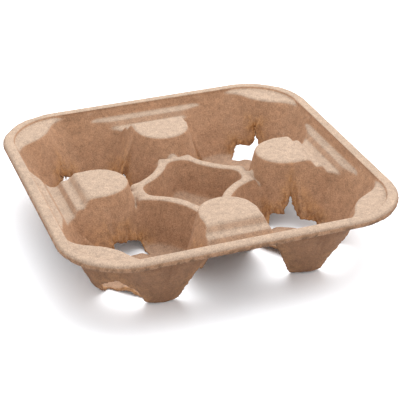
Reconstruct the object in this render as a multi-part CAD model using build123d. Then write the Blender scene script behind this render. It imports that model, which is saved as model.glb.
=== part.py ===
"""Four-cup carrier moulded in one piece from paper pulp.

The carrier is one thin sheet. Its upper face is the boundary of the hollow a cup carrier offers: four wells with
outward lobes, a middle pocket and a stepped channel along each side, round four posts. The same hollow grown by the
sheet's thickness gives the lower face, so the sheet is the grown hollow less the hollow itself.

Frame: millimetres, +Z up, the feet stand on z = 0 and the middle of the square plan is x = y = 0.
"""

import os
from math import cos, hypot, radians, sin

from build123d import *

# Whole carrier
SIDE = 210.0  # over the rim, both ways
HEIGHT = 44.5  # feet to the top of the rim
CORNER_RADIUS = 41.0  # rim corners in plan
SHEET = 2.0  # thickness of the moulded sheet
QUARTERS = 4  # a well, a side and a corner in each

# Rim
RIM_WIDTH = 7.0  # flat band outside the inner wall
LIP_DROP = 4.5  # turned-down lip, below the top of the rim
RIM_ROUND = 1.6  # outer top edge of the rim
SHELF_DROP = 2.0  # corner shelves and post tops, below the top of the rim

# Wells
WELL_PITCH = 94.0  # between neighbouring well axes
WELL_RADIUS = 30.0  # wall of a well, carried down to z = 0
WELL_SLOPE = 0.24  # widening of a well per millimetre of height
PLATE_TOP = 5.0  # raised plate in the middle of a well
PLATE_ROUND = 3.0  # bend from the plate up into the wall
PLATE_REACH = 17.0  # middle of a well to the inner edge of a foot
PLATE_EDGE_SLOPE = 0.5  # inner edge of a foot, leaning over the plate

# Lobes: the two outward feet of a well, opening out to the rim. Offsets are from the well axis at z = 0.
LOBE_AXIS = 105.0  # direction of a lobe from its well axis
LOBE_REACH = 30.5  # outer side: plane towards the corner, round towards the post
LOBE_SLOPE = 0.48
FLANK_TURN = 27.5  # direction the corner-side flank faces
FLANK_REACH = 20.9
FLANK_SLOPE = 0.42
FLANK_ROUND = 9.0  # upright edge between the outer side and the corner-side flank

# Inner foot of a well, on the far side from the corner
INNER_FOOT_AXIS = 225.0
INNER_FOOT_HALF_TURN = 75.0  # its flanks face this far round from its axis
INNER_FOOT_TOP = 14.0  # where its flanks have run out into the well wall

# Posts, in the middle of each side
POST_CENTRE = 61.0  # middle of the carrier to the centre of the round nose
POST_RADIUS = 17.5  # nose and sides at the top
POST_SLOPE = 0.25  # widening of the nose per millimetre downwards
POST_FLANK_SLOPE = 0.38
POST_ROUND = 3.0  # edge of the post top

# Stepped channel outside each post: distance from the middle of the carrier, height
POST_OUTER = 72.0  # outer edge of the post top
STEP_INNER = 76.0
STEP_OUTER = 80.0
STEP_TOP = 37.4
CHANNEL_INNER = 83.0
CHANNEL_OUTER = 88.5
CHANNEL_FLOOR = 33.0
LEDGE_INNER = 91.5
LEDGE_OUTER = 96.0
LEDGE_TOP = 37.5
CHANNEL_HALF_LENGTH = 44.0
CHANNEL_END_INSET = 8.0  # the ends close in over the width of the ledge

# Ring and pocket in the middle
RING_TOP = 31.0
RING_REACH = 55.0  # the ring-level hollow runs this far, under the posts
POCKET_FLOOR = 8.0
POCKET_TIP = 32.0  # middle of the carrier to a pocket tip, at the ring top
POCKET_TIP_SLOPE = 0.25
POCKET_SIDE = 43.0  # well axis to the hollow side of the pocket, at the ring top
POCKET_SIDE_SLOPE = 0.22

# Openings left at the bottom of each well: one to the corner and one to each post
CORNER_OPENING = {"axis": 45.0, "reach": 23.7, "half": 13.5, "roof": 12.5, "peak": 17.5}
POST_OPENING = {"axis": 165.0, "reach": 15.5, "half": 12.5, "roof": 10.0, "peak": 16.5}
OPENING_END = 36.0  # well axis to the outer end of the cut
PEAK_HALF = 3.0  # half width of the pointed peak where it leaves the roof
ROOF_SAG = 2.0  # the roof is lower than its middle at both sides

OVERLAP = 1.0  # past the rim and below the feet, for cuts that run right through

RIM_HALF = SIDE / 2
INNER_HALF = RIM_HALF - RIM_WIDTH
SHELF_TOP = HEIGHT - SHELF_DROP
WELL_CENTRE = WELL_PITCH / 2
CUT_TOP = HEIGHT + OVERLAP


def direction(turn):
    """Unit vector in plan, a turn in degrees from +X."""
    return Vector(cos(radians(turn)), sin(radians(turn)))


def around(shape):
    """The shape in all four quarters."""
    return [Rot(Z=360 / QUARTERS * k) * shape for k in range(QUARTERS)]


def at_well(shape):
    """A shape made round the z axis, moved to the well in the +X +Y corner."""
    return Pos(WELL_CENTRE, WELL_CENTRE) * shape


def mirrored(shape):
    """The shape on the other side of the diagonal through the +X +Y corner."""
    return mirror(shape, Plane.XZ.rotated((0, 0, 45)))


def outline(faces, z, grow):
    """Corners at height z of a ring of sloped faces, each (turn, offset at z = 0, slope)."""
    corners = []
    for (turn_a, offset_a, slope_a), (turn_b, offset_b, slope_b) in zip(faces, faces[1:] + faces[:1]):
        a, b = direction(turn_a), direction(turn_b)
        reach_a = offset_a + slope_a * z + grow * hypot(1, slope_a)
        reach_b = offset_b + slope_b * z + grow * hypot(1, slope_b)
        det = a.X * b.Y - a.Y * b.X
        x = (reach_a * b.Y - reach_b * a.Y) / det
        y = (a.X * reach_b - b.X * reach_a) / det
        corners.append(Vector(x, y, z))
    return corners


def sloped_block(faces, bottom, top, grow):
    """Block between two heights with plane sloped sides, listed anticlockwise."""
    low = outline(faces, bottom, grow)
    high = outline(faces, top, grow)
    count = len(faces)
    sides = [[low[k], low[(k + 1) % count], high[(k + 1) % count], high[k]] for k in range(count)]
    rings = [low[::-1], high] + sides
    return Solid(Shell([Face(Wire.make_polygon(ring)) for ring in rings]))


def cone(radius, slope, bottom, top):
    """Upright cone whose radius is given at z = 0."""
    base = Plane((0, 0, bottom))
    return Solid.make_cone(radius + slope * bottom, radius + slope * top, top - bottom, base)


def rounded_square(half, radius, bottom, top):
    """Upright block with the plan of the rim."""
    plan = Plane.XY.offset(bottom) * RectangleRounded(2 * half, 2 * half, radius)
    return extrude(plan, top - bottom)


def well(grow):
    """Round wall and raised floor plate of a well."""
    radius = WELL_RADIUS + grow * hypot(1, WELL_SLOPE)
    inside = cone(radius, WELL_SLOPE, PLATE_TOP - grow, CUT_TOP)
    return at_well(fillet(inside.edges().sort_by(Axis.Z)[0], PLATE_ROUND + grow))


def lobe(grow):
    """Outward foot of a well, widening up to the rim: plane towards the corner, round towards the post."""
    sole = SHEET - grow
    inner_edge = (LOBE_AXIS + 180, -PLATE_REACH, PLATE_EDGE_SLOPE)
    flank = (FLANK_TURN, FLANK_REACH, FLANK_SLOPE)
    outer = (90.0, LOBE_REACH, LOBE_SLOPE)
    corner_side = sloped_block([flank, outer, (180.0, -grow, 0.0), inner_edge], sole, CUT_TOP, grow)
    fold = corner_side.edges().filter_by(lambda edge: edge.bounding_box().size.Z > HEIGHT / 2).sort_by(Axis.X)[-1]
    corner_side = fillet(fold, FLANK_ROUND + grow)
    faces = [(0.0, -grow, 0.0), (90.0, SIDE, 0.0), (180.0, SIDE, 0.0), inner_edge]
    post_side = sloped_block(faces, sole, CUT_TOP, grow)
    post_side &= cone(LOBE_REACH + grow * hypot(1, LOBE_SLOPE), LOBE_SLOPE, sole, CUT_TOP)
    return at_well(corner_side + post_side)


def inner_foot(grow):
    """Foot of a well on the side of the middle pocket."""
    radius = WELL_RADIUS + grow * hypot(1, WELL_SLOPE)
    inside = cone(radius, WELL_SLOPE, SHEET - grow, INNER_FOOT_TOP)
    faces = [
        (INNER_FOOT_AXIS - INNER_FOOT_HALF_TURN, FLANK_REACH, FLANK_SLOPE),
        (INNER_FOOT_AXIS, 2 * WELL_RADIUS, 0.0),
        (INNER_FOOT_AXIS + INNER_FOOT_HALF_TURN, FLANK_REACH, FLANK_SLOPE),
        (INNER_FOOT_AXIS + 180, -PLATE_REACH, PLATE_EDGE_SLOPE),
    ]
    return at_well(inside & sloped_block(faces, SHEET - grow, INNER_FOOT_TOP, grow))


def post(grow):
    """Post on the +Y side, solid in the hollow; a growing hollow makes it thinner."""
    top, edge_radius = SHELF_TOP - grow, POST_ROUND - grow
    top_radius = POST_RADIUS - grow * hypot(1, POST_SLOPE)
    nose = cone(top_radius + POST_SLOPE * SHELF_TOP, -POST_SLOPE, -SHEET, top)
    nose = Pos(0, POST_CENTRE) * fillet(nose.edges().sort_by(Axis.Z)[-1], edge_radius)
    flank = POST_RADIUS + POST_FLANK_SLOPE * SHELF_TOP
    faces = [(0.0, flank, -POST_FLANK_SLOPE), (90.0, SIDE, 0.0), (180.0, flank, -POST_FLANK_SLOPE)]
    body = sloped_block([*faces, (270.0, -POST_CENTRE, 0.0)], -SHEET, top, -grow)
    top_edges = body.edges().filter_by(Axis.Y).group_by(Axis.Z)[-1]
    return nose + fillet(top_edges, edge_radius)


def channel(grow):
    """Stepped channel between a post and the rim on the +Y side."""
    section = [
        (POST_OUTER, CUT_TOP),
        (POST_OUTER, SHELF_TOP),
        (STEP_INNER, STEP_TOP),
        (STEP_OUTER, STEP_TOP),
        (CHANNEL_INNER, CHANNEL_FLOOR),
        (CHANNEL_OUTER, CHANNEL_FLOOR),
        (LEDGE_INNER, LEDGE_TOP),
        (LEDGE_OUTER, LEDGE_TOP),
        (INNER_HALF, SHELF_TOP),
        (INNER_HALF, CUT_TOP),
    ]
    profile = Plane.YZ * offset(make_face(Polyline(*section, close=True)), grow, kind=Kind.INTERSECTION)
    run = extrude(profile, CHANNEL_HALF_LENGTH + grow, both=True)
    half, inset = CHANNEL_HALF_LENGTH + grow, CHANNEL_END_INSET
    plan = [
        (-half, 0),
        (half, 0),
        (half, LEDGE_INNER),
        (half - inset, INNER_HALF + grow),
        (half - inset, SIDE),
        (inset - half, SIDE),
        (inset - half, INNER_HALF + grow),
        (-half, LEDGE_INNER),
    ]
    return run & extrude(make_face(Polyline(*plan, close=True)), CUT_TOP)


def pocket(grow):
    """Four-pointed pocket in the middle, with a hollow side facing each well."""
    tip = POCKET_TIP - POCKET_TIP_SLOPE * RING_TOP
    turns = [360 / QUARTERS * k for k in range(QUARTERS)]
    block = sloped_block([(turn, tip, POCKET_TIP_SLOPE) for turn in turns], POCKET_FLOOR - grow, CUT_TOP, grow)
    radius = POCKET_SIDE + POCKET_SIDE_SLOPE * RING_TOP - grow * hypot(1, POCKET_SIDE_SLOPE)
    side = at_well(cone(radius, -POCKET_SIDE_SLOPE, 0, CUT_TOP + OVERLAP))
    return block - around(side)


def hollow(grow):
    """Everything above the upper face of the sheet, grown by a thickness."""
    ring_level = Pos(0, 0, RING_TOP - grow) * Box(
        2 * RING_REACH, 2 * RING_REACH, CUT_TOP, align=(Align.CENTER, Align.CENTER, Align.MIN)
    )
    below = ring_level + pocket(grow)
    for feature in (well(grow), lobe(grow), mirrored(lobe(grow)), inner_foot(grow)):
        below += around(feature)
    for one_post, one_channel in zip(around(post(grow)), around(channel(grow))):
        below = below - one_post + one_channel
    above = Pos(0, 0, SHELF_TOP - grow) * Box(SIDE, SIDE, SIDE, align=(Align.CENTER, Align.CENTER, Align.MIN))
    return (below + above) & rounded_square(INNER_HALF + grow, CORNER_RADIUS - RIM_WIDTH + grow, -SHEET, CUT_TOP)


def opening(axis, reach, half, roof, peak):
    """Gap between two feet of a well: an arch with a pointed peak, through the plate's edge and the wall."""
    side_roof = roof - ROOF_SAG
    arch = [
        (-half, -OVERLAP),
        (half, -OVERLAP),
        (half, side_roof),
        (PEAK_HALF, roof),
        (0, peak),
        (-PEAK_HALF, roof),
        (-half, side_roof),
    ]
    through = extrude(Plane.YZ.offset(reach) * make_face(Polyline(*arch, close=True)), OPENING_END - reach)
    return at_well(Rot(Z=axis) * through)


def rim():
    """Flat band round the top with its lip turned down."""
    radius = CORNER_RADIUS
    band = rounded_square(RIM_HALF, radius, HEIGHT - LIP_DROP, HEIGHT)
    under = rounded_square(RIM_HALF - SHEET, radius - SHEET, HEIGHT - LIP_DROP, HEIGHT - SHEET)
    edge = band.faces().sort_by(Axis.Z)[-1].edges()
    return fillet(edge, RIM_ROUND) - under


def cup_carrier():
    """The whole moulded sheet."""
    sheet = hollow(SHEET) & rounded_square(RIM_HALF, CORNER_RADIUS, 0, HEIGHT)
    sheet = sheet + rim() - hollow(0)
    post_side = opening(**POST_OPENING)
    for gap in (opening(**CORNER_OPENING), post_side, mirrored(post_side)):
        sheet -= around(gap)
    return sheet


os.makedirs("parts", exist_ok=True)
export_step(cup_carrier(), "parts/cup_carrier.step")
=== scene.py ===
"""Looks for the moulded-pulp cup carrier: one sheet with soft edges and torn openings.

The sheet is described by a distance field in millimetres, in the frame of the CAD part,
and meshed from it. It stands on a pale studio floor.
"""

from math import radians

import bpy
import numpy as np
from mathutils import Matrix, Vector


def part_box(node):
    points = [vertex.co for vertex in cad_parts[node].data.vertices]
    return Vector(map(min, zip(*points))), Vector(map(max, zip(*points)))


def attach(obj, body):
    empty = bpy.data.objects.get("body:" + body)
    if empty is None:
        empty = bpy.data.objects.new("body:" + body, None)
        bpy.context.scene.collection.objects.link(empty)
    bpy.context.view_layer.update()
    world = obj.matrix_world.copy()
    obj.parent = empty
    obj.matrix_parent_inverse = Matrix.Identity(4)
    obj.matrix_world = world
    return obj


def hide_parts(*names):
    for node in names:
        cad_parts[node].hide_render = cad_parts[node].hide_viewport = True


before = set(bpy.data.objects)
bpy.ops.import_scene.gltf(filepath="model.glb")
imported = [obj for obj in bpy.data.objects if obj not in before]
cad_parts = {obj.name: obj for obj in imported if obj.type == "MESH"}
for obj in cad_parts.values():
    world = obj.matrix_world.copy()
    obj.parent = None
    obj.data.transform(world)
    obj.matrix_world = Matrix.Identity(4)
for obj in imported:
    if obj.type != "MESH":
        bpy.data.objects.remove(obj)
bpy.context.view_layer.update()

NODE = "cup_carrier"
MM = 0.001
SEED = 7

# Whole carrier, from the CAD node
LOW, HIGH = (np.array(corner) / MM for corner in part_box(NODE))
RIM_HALF = (HIGH[0] - LOW[0]) / 2
HEIGHT = HIGH[2] - LOW[2]
CORNER_RADIUS = 41.0
SHEET = 2.0

# Rim
RIM_WIDTH = 7.0
LIP_DROP = 4.5
BAND_BEND = 1.2  # from the flat band down to the lip
INNER_HALF = RIM_HALF - RIM_WIDTH
SHELF_DROP = 2.0
SHELF_TOP = HEIGHT - SHELF_DROP

# Wells
WELL_CENTRE = 47.0
WELL_RADIUS = 30.0
WELL_SLOPE = 0.24
PLATE_TOP = 5.0
PLATE_REACH = 17.0
PLATE_EDGE_SLOPE = 0.5

# Lobes
LOBE_AXIS = 105.0
LOBE_REACH = 30.5
LOBE_SLOPE = 0.48
FLANK_TURN = 27.5
FLANK_REACH = 20.9
FLANK_SLOPE = 0.42
INNER_FOOT_AXIS = 225.0
INNER_FOOT_HALF_TURN = 75.0

# Posts
POST_CENTRE = 61.0
POST_RADIUS = 17.5
POST_SLOPE = 0.25
POST_FLANK_SLOPE = 0.38

# Stepped channels, each point as distance out and height
POST_OUTER = (72.0, SHELF_TOP)
STEP_INNER = (76.0, 37.4)
STEP_OUTER = (80.0, 37.4)
CHANNEL_INNER = (83.0, 33.0)
CHANNEL_OUTER = (88.5, 33.0)
LEDGE_INNER = (91.5, 37.5)
LEDGE_OUTER = (96.0, 37.5)
CHANNEL_HALF_LENGTH = 44.0
CHANNEL_END_INSET = 8.0

# Ring and pocket
RING_TOP = 31.0
RING_REACH = 55.0
POCKET_FLOOR = 8.0
POCKET_TIP = 32.0
POCKET_TIP_SLOPE = 0.25
POCKET_SIDE = 43.0
POCKET_SIDE_SLOPE = 0.22

# Bends: how far two faces blend where they meet
WELL_TO_PLATE = 3.0
LOBE_TO_FLANK = 8.0
LOBE_TO_PLATE = 2.0
LOBE_TO_SOLE = 3.0
FOOT_TO_FLANK = 6.0
FOOT_TO_PLATE = 3.0
FOOT_TO_SOLE = 4.0
NOSE_TO_FLANK = 1.5
CHANNEL_FOLD = 0.9
CHANNEL_END = 3.0
POCKET_POINT = 3.0
POCKET_FOLD = 5.0
RING_EDGE = 0.8
FOOT_TO_WELL = 1.5
LOBE_TO_LOBE = 5.0
LOBE_TO_WELL = 3.0
POST_FOOT = 1.4
CHANNEL_EDGE = 1.5
SHELF_EDGE = 1.7
WALL_TO_RIM = 1.5
SHEET_EDGE = 0.8
LIP_TO_BAND = 0.6
TORN_EDGE = 0.5
SPIKE_TO_ROOF = 1.0

# Openings at the bottom of the wells. Each: well, turn of its middle, half width, distance
# from the well's axis to the plate's edge, roof at its two ends, then the peak's place,
# height and half width. The peak's place is an offset from the middle, anticlockwise.
OPENINGS = (
    ("back_right", 45.0, 13.5, 23.7, 10.0, 10.5, -0.9, 16.5, 3.2),
    ("back_right", 165.0, 12.5, 15.5, 8.0, 7.0, -1.0, 15.0, 3.0),
    ("back_right", 285.0, 12.5, 15.5, 7.0, 8.0, 1.5, 16.0, 3.0),
    ("back_left", 134.0, 12.5, 23.7, 9.0, 3.0, -6.5, 11.0, 2.0),
    ("back_left", 44.0, 7.0, 17.0, 8.0, 8.5, -3.0, 12.5, 1.5),
    ("back_left", 255.0, 12.5, 15.5, 8.0, 7.0, 0.0, 16.0, 3.0),
    ("front_left", 97.5, 10.6, 17.0, 6.0, 13.0, 0.5, 10.5, 3.0),
    ("front_left", 225.0, 13.5, 23.7, 9.0, 9.0, 0.5, 16.5, 13.0),
    ("front_left", 326.0, 21.5, 13.0, 30.0, -4.0, -12.0, 14.0, 1.0),
    ("front_right", 62.5, 15.2, 14.5, 4.8, 10.5, 2.3, 20.0, 4.4),
    ("front_right", 213.0, 17.0, 13.0, 2.0, 30.0, 10.0, 17.0, 1.0),
    ("front_right", 311.0, 16.9, 23.7, 16.0, 12.0, 0.0, 19.0, 4.5),
)
OPENING_END = 38.0  # well axis to the far side of every opening
OPENING_CORNER = 4.5  # rounding where a roof meets a side
COARSE_TEAR, FINE_TEAR = (4.5, 0.28), (2.2, 0.18)  # wavelength and size along the edges
SIDE_ROUGHNESS, START_ROUGHNESS = 0.4, 0.3  # shares of the roof's own

# Thin tears above them. Each: well, turn and height of the low end, then of the high end.
TEARS = (
    ("back_right", 44.0, 15.0, 45.5, 24.5),
    ("back_left", 127.0, 9.5, 129.0, 13.5),
    ("back_left", 41.5, 9.0, 39.0, 18.0),
    ("front_left", 101.0, 8.0, 103.0, 17.5),
    ("front_left", 97.5, 8.0, 99.5, 14.5),
    ("front_right", 67.0, 15.0, 68.5, 21.0),
)
TEAR_HALF = 0.55  # half width at the low end
TEAR_CLOSING = 0.7  # share of the width lost at the high end
TEAR_WAVE, TEAR_WANDER = 4.0, 0.3
TEAR_DEPTH = 4.0  # inside the wall's line
WALL_RADIUS = 32.0  # of a well near its bottom
WELLS = {"back_right": (1, 1), "back_left": (-1, 1), "front_left": (-1, -1), "front_right": (1, -1)}
WELL_ROOM = 41.0  # well axis to the edge of what its openings touch
OPENING_ROOM = 34.0  # height of what they touch

# Mesh
STEP = 0.8  # grid of the distance field
MARGIN = 2.4  # of the grid round the part
INSET = 0.02  # of the finished mesh inside the CAD node's box
MOST_TRIANGLES = 190_000

# Unevenness of the pulp: wavelength and size
SWELL = (26.0, 0.10)
WAVE = (9.0, 0.05)
GRAIN_WAVE, GRAIN_COUNT = 3.4, 20
GRAIN_SIZE, GRAIN_SIZE_OUTSIDE = 0.05, 0.07  # everywhere, and more on the outside
LIP_WAVE, LIP_COUNT, LIP_STRETCH, LIP_SIZE = 3.0, 24, 3.0, 0.05

# Where the masks rise from 0 to 1, in millimetres
OUTSIDE_DEPTH = (0.6, 1.4)  # below the air side of the sheet
RIM_START = (-RIM_WIDTH, 1 - RIM_WIDTH)
RIM_HEIGHTS = (39.0, 40.0)
LIP_START = (-2.6, -1.2)
LIP_HEIGHTS = (38.0, 39.0)
LIP_END = 44.4  # the lip's mask falls over the last millimetre below it
LIP_FADE, LIP_FADE_SHARE = (41.0, 43.8), 0.5  # its upper part is only half as dark
# painted shade on the outside just under the rim, standing in for the shadow beneath the lip
SHADE_UNDER_RIM_HEIGHTS = (30.0, 38.0)
TORN_REACH = (0.3, 10.0)  # distance from an opening over which the torn look fades
TORN_LOSS_OUTSIDE = 0.75
# painted highlight on upward-facing tops: half as strong low down, full above these heights
HIGHLIGHT_HEIGHTS = (8.0, 30.0)
# the outside faces are darker, and painted shade is added under the rim
OUTSIDE_SHARE, SHADE_UNDER_RIM_SHARE = 0.75, 0.35
# And where they rise with the upward part of the surface's direction
FLAT = (0.6, 0.9)
# painted highlight: rises as the surface faces upwards
HIGHLIGHT_TILT = (0.42, 0.78)

# Colours of the pulp, as linear red, green and blue
PULP_DARK = (0.290, 0.160, 0.091)
PULP_PALE = (0.362, 0.208, 0.124)
# painted highlight: paler colour on upward-facing tops, standing in for the light from above
PULP_CROWN_HIGHLIGHT = (0.338, 0.246, 0.181)
# darker colour of the outside faces, also used for the painted shade under the rim
PULP_OUTSIDE_AND_SHADE = (0.140, 0.068, 0.036)
PULP_LIP = (0.10, 0.056, 0.033)
PULP_TORN = (0.43, 0.235, 0.105)
PULP_FRAYED = (0.2, 0.082, 0.026)
PULP_SPECK = (0.13, 0.07, 0.04)

# Patterns in the pulp: scale, detail and roughness of each noise
CLOUD = (40, 3, 0.6)
MOTTLE = (260, 4, 0.65)
FIBRE = (1300, 3, 0.7)
STREAK = (420, 4, 0.7)
STREAK_STRETCH = (1, 1, 0.22)
SPECK_SCALE = 190

# What each pattern does: the span of its own values, then what that span becomes
NOISE_SPAN = (0.3, 0.7)
CLOUD_TO_PALE = (*NOISE_SPAN, 0, 1)
MOTTLE_TO_SHADE = (*NOISE_SPAN, 0.84, 1.2)
FIBRE_TO_SHADE = (*NOISE_SPAN, -0.3, 0.3)
MOTTLE_TO_ROUGHNESS = (*NOISE_SPAN, 0.82, 0.98)
MOTTLE_TO_LIP = (0.42, 0.58, 0.3, 1.0)
MOTTLE_TO_TORN = (0.4, 0.6, 0.3, 0.9)
STREAK_TO_FRAYED = (0.42, 0.62, 0.1, 1)
DISTANCE_TO_SPECK = (0.05, 0.13, 1, 0)
MOTTLE_TO_SPECK = (0.5, 0.62, 0, 0.75)
# fewer specks where the highlight is painted on the tops
HIGHLIGHT_TO_SPECK = (0, 1, 1, 0.4)

# Surface of the pulp
SPECULAR = 0.25
BUMP_STRENGTH, BUMP_DEPTH = 0.7, 0.00045  # depth in metres
MOTTLE_RELIEF, FIBRE_RELIEF, STREAK_RELIEF = 1.2, 0.6, 2.0

# Studio and camera, in metres and degrees
FLOOR_HALF = 6.0
FLOOR_COLOUR = (0.92, 0.94, 0.97, 1)
FLOOR_ROUGHNESS = 0.6
WORLD_STRENGTH = 1.4
KEY_PLACE, KEY_SIZE, KEY_POWER = (0.4, 0.35, 1.0), 1.8, 19
KEY_TARGET = (0, 0, 0.02)
AZIMUTH, ELEVATION, ROLL = -19.53, 28.73, -0.75
CAMERA_TARGET = (0.0003, -0.0001, 0.020)
CAMERA_DISTANCE = 0.8212
LENS = 116.7
LENS_SHIFT = (0.0160, -0.0080)
CLIP_START = 0.01


def soft_min(a, b, reach):
    """Smaller of two fields, blended where they differ by less than the reach."""
    share = np.clip(0.5 + 0.5 * (b - a) / reach, 0, 1)
    return b + (a - b) * share - reach * share * (1 - share)


def soft_max(a, b, reach):
    """Larger of two fields, blended where they differ by less than the reach."""
    return -soft_min(-a, -b, reach)


def plane(x, y, z, turn, reach, slope):
    """Distance outside an upright face that leans outwards by its slope."""
    along = x * np.cos(radians(turn)) + y * np.sin(radians(turn))
    return (along - reach - slope * z) / np.hypot(1, slope)


def cone(x, y, z, radius, slope):
    """Distance outside an upright cone whose radius is given at z = 0."""
    return (np.hypot(x, y) - radius - slope * z) / np.hypot(1, slope)


def edge_line(y, z, low, high):
    """Distance beyond a sloped wall seen in section, from its low to its high point."""
    slope = (high[0] - low[0]) / (high[1] - low[1])
    return (y - low[0] - slope * (z - low[1])) / np.hypot(1, slope)


def rounded_square(x, y, half, radius):
    """Distance outside a rounded square in plan."""
    over_x = np.abs(x) - half + radius
    over_y = np.abs(y) - half + radius
    outside = np.hypot(np.maximum(over_x, 0), np.maximum(over_y, 0))
    return outside + np.minimum(np.maximum(over_x, over_y), 0) - radius


def well_air(x, y, z):
    """Round wall and raised floor plate of the well at the origin."""
    return soft_max(cone(x, y, z, WELL_RADIUS, WELL_SLOPE), PLATE_TOP - z, WELL_TO_PLATE)


def lobe_air(x, y, z):
    """Outward foot of the well on its +Y side, flat towards the corner and round towards the post."""
    reach = np.where(x > 0, y, np.hypot(x, y))
    field = (reach - LOBE_REACH - LOBE_SLOPE * z) / np.hypot(1, LOBE_SLOPE)
    flank = plane(x, y, z, FLANK_TURN, FLANK_REACH, FLANK_SLOPE)
    field = soft_max(field, flank, LOBE_TO_FLANK)
    plate = plane(x, y, z, LOBE_AXIS + 180, -PLATE_REACH, PLATE_EDGE_SLOPE)
    field = soft_max(field, plate, LOBE_TO_PLATE)
    return soft_max(field, SHEET - z, LOBE_TO_SOLE)


def inner_foot_air(x, y, z):
    """Foot of the well on the side of the middle pocket."""
    field = cone(x, y, z, WELL_RADIUS, WELL_SLOPE)
    for side in (-1, 1):
        turn = INNER_FOOT_AXIS + side * INNER_FOOT_HALF_TURN
        flank = plane(x, y, z, turn, FLANK_REACH, FLANK_SLOPE)
        field = soft_max(field, flank, FOOT_TO_FLANK)
    plate = plane(x, y, z, INNER_FOOT_AXIS + 180, -PLATE_REACH, PLATE_EDGE_SLOPE)
    field = soft_max(field, plate, FOOT_TO_PLATE)
    return soft_max(field, SHEET - z, FOOT_TO_SOLE)


def post_body(x, y, z):
    """Post on the +Y side."""
    foot = POST_RADIUS + POST_SLOPE * SHELF_TOP
    nose = cone(x, y - POST_CENTRE, z, foot, -POST_SLOPE)
    reach = POST_RADIUS + POST_FLANK_SLOPE * SHELF_TOP
    flank = plane(np.abs(x), y, z, 0.0, reach, -POST_FLANK_SLOPE)
    return soft_min(nose, np.maximum(flank, POST_CENTRE - y), NOSE_TO_FLANK)


def channel_air(x, y, z):
    """Stepped channel between a post and the rim on the +Y side."""
    step = soft_max(-edge_line(y, z, STEP_INNER, POST_OUTER), STEP_INNER[1] - z, CHANNEL_FOLD)
    step = np.maximum(step, y - CHANNEL_OUTER[0])
    inner_wall = -edge_line(y, z, CHANNEL_INNER, STEP_OUTER)
    trench = soft_max(inner_wall, CHANNEL_INNER[1] - z, CHANNEL_FOLD)
    trench = soft_max(trench, edge_line(y, z, CHANNEL_OUTER, LEDGE_INNER), CHANNEL_FOLD)
    ledge = np.maximum(LEDGE_OUTER[1] - z, STEP_OUTER[0] - y)
    outer_wall = edge_line(y, z, LEDGE_OUTER, (INNER_HALF, SHELF_TOP))
    ledge = soft_max(ledge, outer_wall, CHANNEL_FOLD)
    field = soft_min(soft_min(step, trench, CHANNEL_FOLD), ledge, CHANNEL_FOLD)
    share = np.clip((y - LEDGE_INNER[0]) / (INNER_HALF - LEDGE_INNER[0]), 0, 1)
    taper = CHANNEL_END_INSET * share
    return soft_max(field, np.abs(x) - CHANNEL_HALF_LENGTH + taper, CHANNEL_END)


def pocket_air(x, y, z):
    """Four-pointed pocket in the middle."""
    tip = POCKET_TIP - POCKET_TIP_SLOPE * RING_TOP
    tips = [plane(x, y, z, turn, tip, POCKET_TIP_SLOPE) for turn in (0.0, 90.0)]
    block = soft_max(*tips, POCKET_POINT)
    radius = POCKET_SIDE + POCKET_SIDE_SLOPE * RING_TOP
    side = cone(x - WELL_CENTRE, y - WELL_CENTRE, z, radius, -POCKET_SIDE_SLOPE)
    return soft_max(soft_max(block, -side, POCKET_FOLD), POCKET_FLOOR - z, POCKET_FOLD)


def air_above(x, y, z):
    """Distance from the air above the sheet, in the quarter where x and y are positive."""
    well_x, well_y = x - WELL_CENTRE, y - WELL_CENTRE
    ring = np.maximum(RING_TOP - z, np.maximum(x, y) - RING_REACH)
    field = soft_min(ring, pocket_air(x, y, z), RING_EDGE)
    foot = inner_foot_air(well_x, well_y, z)
    well = soft_min(well_air(well_x, well_y, z), foot, FOOT_TO_WELL)
    field = soft_min(field, well, RING_EDGE)
    lobes = soft_min(lobe_air(well_x, well_y, z), lobe_air(well_y, well_x, z), LOBE_TO_LOBE)
    field = soft_min(field, lobes, LOBE_TO_WELL)
    posts = np.minimum(post_body(x, y, z), post_body(y, x, z))
    field = soft_max(field, -posts, POST_FOOT)
    channels = np.minimum(channel_air(x, y, z), channel_air(y, x, z))
    field = soft_min(field, channels, CHANNEL_EDGE)
    field = soft_min(field, SHELF_TOP - z, SHELF_EDGE)
    wall = rounded_square(x, y, INNER_HALF, CORNER_RADIUS - RIM_WIDTH)
    return soft_max(field, wall, WALL_TO_RIM)


def capsule(u, v, start, end, radius):
    """Distance from a rounded bar in section."""
    run = np.subtract(end, start)
    share = np.clip(((u - start[0]) * run[0] + (v - start[1]) * run[1]) / (run @ run), 0, 1)
    return np.hypot(u - start[0] - share * run[0], v - start[1] - share * run[1]) - radius


def rim(x, y, z):
    """Flat band round the top with its lip turned down."""
    half_sheet = SHEET / 2
    out = rounded_square(x, y, RIM_HALF, CORNER_RADIUS)
    band_z = HEIGHT - half_sheet
    turn = (-half_sheet - BAND_BEND, band_z)
    drop = (-half_sheet, band_z - BAND_BEND)
    field = capsule(out, z, (-RIM_WIDTH, band_z), turn, half_sheet)
    field = np.minimum(field, capsule(out, z, turn, drop, half_sheet))
    foot = (-half_sheet, HEIGHT - LIP_DROP + half_sheet)
    return soft_min(field, capsule(out, z, drop, foot, half_sheet), LIP_TO_BAND)


def ripple(x, y, z, wavelength, seed, waves=14):
    """Smooth random field of about unit size, made of plane waves in all directions."""
    rng = np.random.default_rng(seed)
    total = np.zeros(np.broadcast(x, y, z).shape, np.float32)
    for _ in range(waves):
        way = rng.normal(size=3)
        way *= 2 * np.pi / wavelength / np.linalg.norm(way) * rng.uniform(0.6, 1.5)
        total += np.sin(way[0] * x + way[1] * y + way[2] * z + rng.uniform(0, 2 * np.pi))
    return total / np.sqrt(waves / 2)


def well_place(name):
    """Middle of a well in plan."""
    return [WELL_CENTRE * side for side in WELLS[name]]


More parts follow.
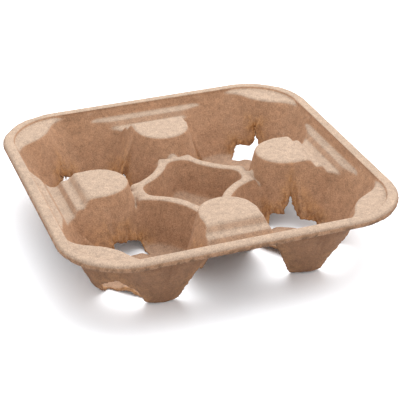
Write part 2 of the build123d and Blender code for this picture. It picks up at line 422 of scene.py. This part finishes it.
def opening(x, y, z, turn, half, start, roof_low, roof_high, peak_place, peak, peak_half):
    """Torn gap between two feet of the well at the origin, as a field that is negative inside."""
    ahead, side = np.cos(radians(turn)), np.sin(radians(turn))
    along, across = x * ahead + y * side, y * ahead - x * side
    roof = roof_low + (roof_high - roof_low) * (across + half) / (2 * half)
    slope = (peak - (roof_low + roof_high) / 2) / peak_half
    spike = (z - peak + slope * np.abs(across - peak_place)) / np.hypot(1, slope)
    rough = COARSE_TEAR[1] * ripple(x, y, z, COARSE_TEAR[0], int(turn))
    rough = rough + FINE_TEAR[1] * ripple(x, y, z, FINE_TEAR[0], int(turn) + 1)
    top = soft_min(z - roof, spike, SPIKE_TO_ROOF) + rough
    sides = np.abs(across) - half + SIDE_ROUGHNESS * rough
    field = soft_max(top, sides, OPENING_CORNER)
    field = np.maximum(field, start + START_ROUGHNESS * rough - along)
    return np.maximum(field, along - OPENING_END)


def tear(x, y, z, low_turn, low, high_turn, high):
    """Thin tear in the wall of the well at the origin, closing towards its high end."""
    share = np.clip((z - low) / (high - low), 0, 1)
    turn = np.degrees(np.arctan2(y, x))
    away = (turn - low_turn - (high_turn - low_turn) * share + 180) % 360 - 180
    wander = TEAR_WANDER * ripple(0 * x, 0 * y, z, TEAR_WAVE, int(10 * low_turn))
    half = TEAR_HALF * (1 - TEAR_CLOSING * share)
    field = np.abs(WALL_RADIUS * np.radians(away) + wander) - half
    field = np.maximum(field, np.abs(z - (low + high) / 2) - (high - low) / 2)
    return np.maximum(field, WELL_RADIUS + WELL_SLOPE * z - TEAR_DEPTH - np.hypot(x, y))


def all_openings(name, x, y, z):
    """Every opening and tear of one well, from points in the frame of the part."""
    place = well_place(name)
    x, y = x - place[0], y - place[1]
    gaps = [opening(x, y, z, *values) for well, *values in OPENINGS if well == name]
    gaps += [tear(x, y, z, *values) for well, *values in TEARS if well == name]
    return np.minimum.reduce(gaps)


def cut_openings(field, origin):
    """The field with each well's openings taken out of it."""
    ticks = [origin[k] + np.arange(field.shape[k]) * STEP for k in range(3)]
    for name in WELLS:
        middle = well_place(name)
        near = [np.flatnonzero(np.abs(ticks[k] - middle[k]) < WELL_ROOM) for k in range(2)]
        near.append(np.flatnonzero(ticks[2] < OPENING_ROOM))
        block = tuple(slice(part[0], part[-1] + 1) for part in near)
        sides = (ticks[k][block[k]].astype(np.float32) for k in range(3))
        grid = np.meshgrid(*sides, indexing="ij")
        field[block] = soft_max(field[block], -all_openings(name, *grid), TORN_EDGE)
    return field


def carrier_field():
    """Distance field of the whole sheet on a regular grid, and the grid's origin."""
    half_count = int(np.ceil((RIM_HALF + MARGIN) / STEP))
    ticks = (np.arange(half_count) + 0.5) * STEP
    rise = np.arange(-MARGIN, HEIGHT + MARGIN, STEP)
    x, y, z = np.meshgrid(ticks, ticks, rise, indexing="ij")
    x, y, z = (part.astype(np.float32) for part in (x, y, z))
    air = air_above(x, y, z)
    sheet = soft_max(np.maximum(-air, air - SHEET), z - HEIGHT, SHEET_EDGE)
    field = np.maximum(soft_min(sheet, rim(x, y, z), SHEET_EDGE), -air)
    field = np.concatenate([field[::-1], field])
    field = np.concatenate([field[:, ::-1], field], axis=1)
    low = -(half_count - 0.5) * STEP
    origin = np.array([low, low, rise[0]])
    return cut_openings(field, origin), origin


CUBE = np.array([(i, j, k) for i in (0, 1) for j in (0, 1) for k in (0, 1)])


def crossed_cells(inside):
    """Grid cells that the surface passes through, and the number of each in a full grid."""
    size = np.array(inside.shape) - 1
    count = np.zeros(size, np.uint8)
    for i, j, k in CUBE:
        count += inside[i : i + size[0], j : j + size[1], k : k + size[2]]
    cells = np.argwhere((count > 0) & (count < len(CUBE)))
    number = np.full(count.shape, -1, np.int32)
    number[tuple(cells.T)] = np.arange(len(cells))
    return cells, number


def cell_vertices(field, cells):
    """One vertex for each cell: the mean of the places where the surface crosses its edges."""
    total = np.zeros((len(cells), 3))
    crossings = np.zeros((len(cells), 1))
    for corner in CUBE:
        for axis in range(3):
            if corner[axis]:
                continue
            start = cells + corner
            end = start.copy()
            end[:, axis] += 1
            a, b = field[tuple(start.T)], field[tuple(end.T)]
            crossed = (a < 0) != (b < 0)
            share = np.where(crossed, a / np.where(crossed, a - b, 1), 0)
            place = start.astype(float)
            place[:, axis] += share
            total += place * crossed[:, None]
            crossings += crossed[:, None]
    return total / crossings * STEP


def crossed_edges(inside, axis):
    """Grid edges along one axis that the surface crosses, and whether each starts inside."""
    lower = [slice(None)] * 3
    upper = [slice(None)] * 3
    lower[axis], upper[axis] = slice(0, -1), slice(1, None)
    starts, ends = inside[tuple(lower)], inside[tuple(upper)]
    edges = np.argwhere(starts != ends)
    keep = np.ones(len(edges), bool)
    for side in range(3):
        if side != axis:
            keep &= (edges[:, side] > 0) & (edges[:, side] < inside.shape[side] - 1)
    edges = edges[keep]
    return edges, starts[tuple(edges.T)]


def surface_net(field, origin):
    """Vertices and quads of the zero surface of a field."""
    inside = field < 0
    cells, number = crossed_cells(inside)
    quads = []
    for axis in range(3):
        edges, outward = crossed_edges(inside, axis)
        side_a, side_b = [k for k in range(3) if k != axis]
        ring = []
        for da, db in ((0, 0), (1, 0), (1, 1), (0, 1)):
            cell = edges.copy()
            cell[:, side_a] -= da
            cell[:, side_b] -= db
            ring.append(number[tuple(cell.T)])
        ring = np.stack(ring, axis=1)
        turned = outward if axis != 1 else ~outward
        ring[~turned] = ring[~turned][:, ::-1]
        quads.append(ring)
    return origin + cell_vertices(field, cells), np.concatenate(quads)


def coordinates(mesh):
    """Vertices of a mesh in millimetres."""
    places = np.empty(3 * len(mesh.vertices), np.float32)
    mesh.vertices.foreach_get("co", places)
    return places.reshape(-1, 3) / MM


def normals(mesh):
    """Vertex normals of a mesh."""
    ways = np.empty(3 * len(mesh.vertices), np.float32)
    mesh.vertices.foreach_get("normal", ways)
    return ways.reshape(-1, 3)


def smooth_step(value, low, high):
    """0 below low, 1 above high, smooth between them."""
    share = np.clip((value - low) / (high - low), 0, 1)
    return share * share * (3 - 2 * share)


def near_openings(points):
    """Distance of each point from the nearest opening."""
    distance = np.full(len(points), WELL_ROOM, np.float32)
    for name in WELLS:
        middle = well_place(name)
        near = (np.abs(points[:, :2] - middle) < WELL_ROOM).all(axis=1)
        distance[near] = all_openings(name, *points[near].T)
    return distance


def roughen(points, ways, outer, lip):
    """Points moved along their normals, by the unevenness of pulp and of a rough lip."""
    x, y, z = points.T
    push = SWELL[1] * ripple(x, y, z, SWELL[0], SEED) + WAVE[1] * ripple(x, y, z, WAVE[0], SEED + 1)
    grain = GRAIN_SIZE + GRAIN_SIZE_OUTSIDE * outer
    push = push + grain * ripple(x, y, z, GRAIN_WAVE, SEED + 2, GRAIN_COUNT)
    notches = ripple(x, y, LIP_STRETCH * z, LIP_WAVE, SEED + 3, LIP_COUNT)
    push = push - lip * LIP_SIZE * (1 + notches)
    points = points + ways * push[:, None]
    return np.clip(points, LOW + INSET, HIGH - INSET)


def lay_surface(mesh):
    """Roughen the mesh and give it the masks that the material reads."""
    points, ways = coordinates(mesh), normals(mesh)
    x, y, z = points.T
    air = air_above(np.abs(x), np.abs(y), z)
    out = rounded_square(x, y, RIM_HALF, CORNER_RADIUS)
    on_rim = smooth_step(out, *RIM_START) * smooth_step(z, *RIM_HEIGHTS)
    outer = smooth_step(air, *OUTSIDE_DEPTH) * (1 - on_rim)
    lip = smooth_step(out, *LIP_START) * smooth_step(z, *LIP_HEIGHTS)
    lip = lip * smooth_step(LIP_END - z, 0.0, 1.0)
    points = roughen(points, ways, outer, lip)
    mesh.vertices.foreach_set("co", (points * MM).astype(np.float32).ravel())
    # painted shade: the outside darkens towards the top, under the rim
    shade_under_rim = outer * smooth_step(z, *SHADE_UNDER_RIM_HEIGHTS)
    upright = 1 - smooth_step(np.abs(ways[:, 2]), *FLAT)
    torn = 1 - smooth_step(near_openings(points), *TORN_REACH)
    torn = torn * upright * (1 - TORN_LOSS_OUTSIDE * outer)
    # painted highlight: upward-facing surfaces get a paler colour, more so higher up, but not on the
    # outside
    crown_highlight = smooth_step(ways[:, 2], *HIGHLIGHT_TILT) * (0.5 + 0.5 * smooth_step(z, *HIGHLIGHT_HEIGHTS))
    crown_highlight = crown_highlight * (1 - outer)
    lip = lip * (1.0 - LIP_FADE_SHARE * smooth_step(z, *LIP_FADE))
    # darker outside, plus painted shade under the rim
    shaded = OUTSIDE_SHARE * outer + SHADE_UNDER_RIM_SHARE * shade_under_rim
    masks = np.stack([crown_highlight, torn, shaded, np.ones_like(torn)], axis=1)
    layer = mesh.color_attributes.new("pulp", "FLOAT_COLOR", "POINT")
    layer.data.foreach_set("color", masks.astype(np.float32).ravel())
    layer = mesh.attributes.new("lip", "FLOAT", "POINT")
    layer.data.foreach_set("value", lip.astype(np.float32))
    mesh.update()


def make_carrier():
    """The sheet as one mesh object."""
    vertices, quads = surface_net(*carrier_field())
    mesh = bpy.data.meshes.new("pulp_sheet")
    mesh.from_pydata((vertices * MM).tolist(), [], quads.tolist())
    piece = bpy.data.objects.new("pulp_sheet", mesh)
    bpy.context.collection.objects.link(piece)
    triangles = 2 * len(quads)
    if triangles > MOST_TRIANGLES:
        thin = piece.modifiers.new("thin", "DECIMATE")
        thin.ratio = MOST_TRIANGLES / triangles
        bpy.context.view_layer.objects.active = piece
        bpy.ops.object.modifier_apply(modifier=thin.name)
    lay_surface(piece.data)
    piece.data.polygons.foreach_set("use_smooth", [True] * len(piece.data.polygons))
    return piece


def noise(tree, vector, scale, detail, roughness):
    """Noise texture in the frame of the part."""
    node = tree.nodes.new("ShaderNodeTexNoise")
    node.inputs["Scale"].default_value = scale
    node.inputs["Detail"].default_value = detail
    node.inputs["Roughness"].default_value = roughness
    tree.links.new(vector, node.inputs["Vector"])
    return node.outputs["Fac"]


def math(tree, operation, a, b, clamp=False):
    """Math node on two sockets or numbers."""
    node = tree.nodes.new("ShaderNodeMath")
    node.operation = operation
    node.use_clamp = clamp
    for socket, value in zip(node.inputs, (a, b)):
        if isinstance(value, (int, float)):
            socket.default_value = value
        else:
            tree.links.new(value, socket)
    return node.outputs[0]


def mapped(tree, value, low, high, to_low, to_high):
    """A value stretched from one range to another, kept inside it."""
    node = tree.nodes.new("ShaderNodeMapRange")
    numbers = {"From Min": low, "From Max": high, "To Min": to_low, "To Max": to_high}
    for name, number in numbers.items():
        node.inputs[name].default_value = number
    tree.links.new(value, node.inputs["Value"])
    return node.outputs[0]


def mixed(tree, share, a, b, blend="MIX"):
    """Mix of two colours, given as sockets or as red, green and blue."""
    node = tree.nodes.new("ShaderNodeMix")
    node.data_type = "RGBA"
    node.blend_type = blend
    if isinstance(share, float):
        node.inputs["Factor"].default_value = share
    else:
        tree.links.new(share, node.inputs["Factor"])
    sockets = [socket for socket in node.inputs if socket.type == "RGBA"]
    for socket, value in zip(sockets, (a, b)):
        if isinstance(value, tuple):
            socket.default_value = (*value, 1)
        else:
            tree.links.new(value, socket)
    return next(socket for socket in node.outputs if socket.type == "RGBA")


def pulp_masks(tree):
    """The masks of the mesh: painted highlight on the tops, torn, darker outside with painted shade
    under the rim, and lip.
    """
    layer = tree.nodes.new("ShaderNodeAttribute")
    layer.attribute_name = "pulp"
    split = tree.nodes.new("ShaderNodeSeparateColor")
    tree.links.new(layer.outputs["Color"], split.inputs["Color"])
    lip = tree.nodes.new("ShaderNodeAttribute")
    lip.attribute_name = "lip"
    return (*split.outputs[:3], lip.outputs["Fac"])


def pulp_patterns(tree):
    """The cloud, mottle, fibre and streak noises, and the specks."""
    place = tree.nodes.new("ShaderNodeTexCoord").outputs["Object"]
    cloud = noise(tree, place, *CLOUD)
    mottle = noise(tree, place, *MOTTLE)
    fibre = noise(tree, place, *FIBRE)
    stretched = tree.nodes.new("ShaderNodeMapping")
    stretched.inputs["Scale"].default_value = STREAK_STRETCH
    tree.links.new(place, stretched.inputs["Vector"])
    streak = noise(tree, stretched.outputs["Vector"], *STREAK)
    cells = tree.nodes.new("ShaderNodeTexVoronoi")
    cells.inputs["Scale"].default_value = SPECK_SCALE
    tree.links.new(place, cells.inputs["Vector"])
    dots = mapped(tree, cells.outputs["Distance"], *DISTANCE_TO_SPECK)
    specks = math(tree, "MULTIPLY", dots, mapped(tree, mottle, *MOTTLE_TO_SPECK))
    return cloud, mottle, fibre, streak, specks


def grained(tree, colour, mottle, fibre):
    """A colour made lighter and darker by the pulp's mottle and fibres."""
    mottle_part = mapped(tree, mottle, *MOTTLE_TO_SHADE)
    grain = math(tree, "ADD", mottle_part, mapped(tree, fibre, *FIBRE_TO_SHADE))
    shade = tree.nodes.new("ShaderNodeCombineColor")
    for socket in shade.inputs:
        tree.links.new(grain, socket)
    return mixed(tree, 1.0, colour, shade.outputs[0], "MULTIPLY")


def pulp_colour(tree, masks, patterns):
    """Base colour: painted highlight on the upward tops, dark outside with painted shade under the
    rim, and orange-brown where it is torn.
    """
    crown_highlight, torn, shaded, lip = masks
    cloud, mottle, fibre, streak, specks = patterns
    colour = mixed(tree, mapped(tree, cloud, *CLOUD_TO_PALE), PULP_DARK, PULP_PALE)
    # painted highlight on the upward tops
    colour = mixed(tree, crown_highlight, colour, PULP_CROWN_HIGHLIGHT)
    # darker outside, with painted shade under the rim
    colour = mixed(tree, shaded, colour, PULP_OUTSIDE_AND_SHADE)
    flecks = math(tree, "MULTIPLY", lip, mapped(tree, mottle, *MOTTLE_TO_LIP))
    colour = mixed(tree, flecks, colour, PULP_LIP)
    fresh = math(tree, "MULTIPLY", torn, mapped(tree, mottle, *MOTTLE_TO_TORN))
    colour = mixed(tree, fresh, colour, PULP_TORN)
    edge = math(tree, "MULTIPLY", torn, torn)
    edge = math(tree, "MULTIPLY", edge, mapped(tree, streak, *STREAK_TO_FRAYED), True)
    colour = mixed(tree, edge, colour, PULP_FRAYED)
    colour = grained(tree, colour, mottle, fibre)
    # specks fade where the highlight is painted
    specks = math(tree, "MULTIPLY", specks, mapped(tree, crown_highlight, *HIGHLIGHT_TO_SPECK))
    return mixed(tree, specks, colour, PULP_SPECK)


def pulp_bump(tree, torn, mottle, fibre, streak):
    """Fine relief of the fibres, with streaks where the pulp is torn."""
    relief = math(tree, "MULTIPLY", mottle, MOTTLE_RELIEF)
    relief = math(tree, "ADD", relief, math(tree, "MULTIPLY", fibre, FIBRE_RELIEF))
    frayed = math(tree, "MULTIPLY", math(tree, "MULTIPLY", streak, torn), STREAK_RELIEF)
    bump = tree.nodes.new("ShaderNodeBump")
    bump.inputs["Strength"].default_value = BUMP_STRENGTH
    bump.inputs["Distance"].default_value = BUMP_DEPTH
    tree.links.new(math(tree, "ADD", relief, frayed), bump.inputs["Height"])
    return bump.outputs["Normal"]


def pulp_material():
    """Unbleached moulded pulp: mottled, fibrous and matt."""
    material = bpy.data.materials.new("moulded_pulp_look")
    material.use_nodes = True
    tree = material.node_tree
    shader = tree.nodes["Principled BSDF"]
    masks, patterns = pulp_masks(tree), pulp_patterns(tree)
    torn = masks[1]
    mottle, fibre, streak = patterns[1:4]
    tree.links.new(pulp_colour(tree, masks, patterns), shader.inputs["Base Color"])
    tree.links.new(mapped(tree, mottle, *MOTTLE_TO_ROUGHNESS), shader.inputs["Roughness"])
    shader.inputs["Specular IOR Level"].default_value = SPECULAR
    tree.links.new(pulp_bump(tree, torn, mottle, fibre, streak), shader.inputs["Normal"])
    return material


def key_light():
    """Square soft light aimed at the middle of the carrier."""
    lamp = bpy.data.lights.new("key", "AREA")
    lamp.size = KEY_SIZE
    lamp.energy = KEY_POWER
    piece = bpy.data.objects.new("key", lamp)
    piece.location = KEY_PLACE
    aim = Vector(KEY_TARGET) - Vector(KEY_PLACE)
    piece.rotation_euler = aim.to_track_quat("-Z", "Y").to_euler()
    bpy.context.collection.objects.link(piece)


def studio():
    """Pale floor, soft light and even surroundings."""
    mesh = bpy.data.meshes.new("floor")
    corners = [(FLOOR_HALF * i, FLOOR_HALF * j, 0) for i, j in ((-1, -1), (1, -1), (1, 1), (-1, 1))]
    mesh.from_pydata(corners, [], [(0, 1, 2, 3)])
    floor = bpy.data.objects.new("floor", mesh)
    bpy.context.collection.objects.link(floor)
    material = bpy.data.materials.new("pale_floor")
    material.use_nodes = True
    shader = material.node_tree.nodes["Principled BSDF"]
    shader.inputs["Base Color"].default_value = FLOOR_COLOUR
    shader.inputs["Roughness"].default_value = FLOOR_ROUGHNESS
    mesh.materials.append(material)
    world = bpy.data.worlds.new("studio")
    bpy.context.scene.world = world
    world.use_nodes = True
    background = world.node_tree.nodes["Background"]
    background.inputs["Color"].default_value = (1, 1, 1, 1)
    background.inputs["Strength"].default_value = WORLD_STRENGTH
    key_light()
    bpy.context.scene.view_settings.view_transform = "Standard"


def camera():
    """Camera at the photograph's angle, looking down from the front left."""
    azimuth, elevation, roll = radians(AZIMUTH), radians(ELEVATION), radians(ROLL)
    level = np.cos(elevation)
    back = Vector((np.sin(azimuth) * level, -np.cos(azimuth) * level, np.sin(elevation)))
    right = Vector((np.cos(azimuth), np.sin(azimuth), 0))
    up = back.cross(right)
    tilted_right = right * np.cos(roll) + up * np.sin(roll)
    tilted_up = up * np.cos(roll) - right * np.sin(roll)
    place = Vector(CAMERA_TARGET) + back * CAMERA_DISTANCE
    lens = bpy.data.cameras.new("camera")
    lens.lens = LENS
    lens.shift_x, lens.shift_y = LENS_SHIFT
    lens.clip_start = CLIP_START
    piece = bpy.data.objects.new("camera", lens)
    turn = Matrix((tilted_right, tilted_up, back)).transposed().to_4x4()
    piece.matrix_world = Matrix.Translation(place) @ turn
    bpy.context.collection.objects.link(piece)
    bpy.context.scene.camera = piece


camera()
studio()
carrier = make_carrier()
carrier.data.materials.append(pulp_material())
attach(carrier, "root")
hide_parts(NODE)
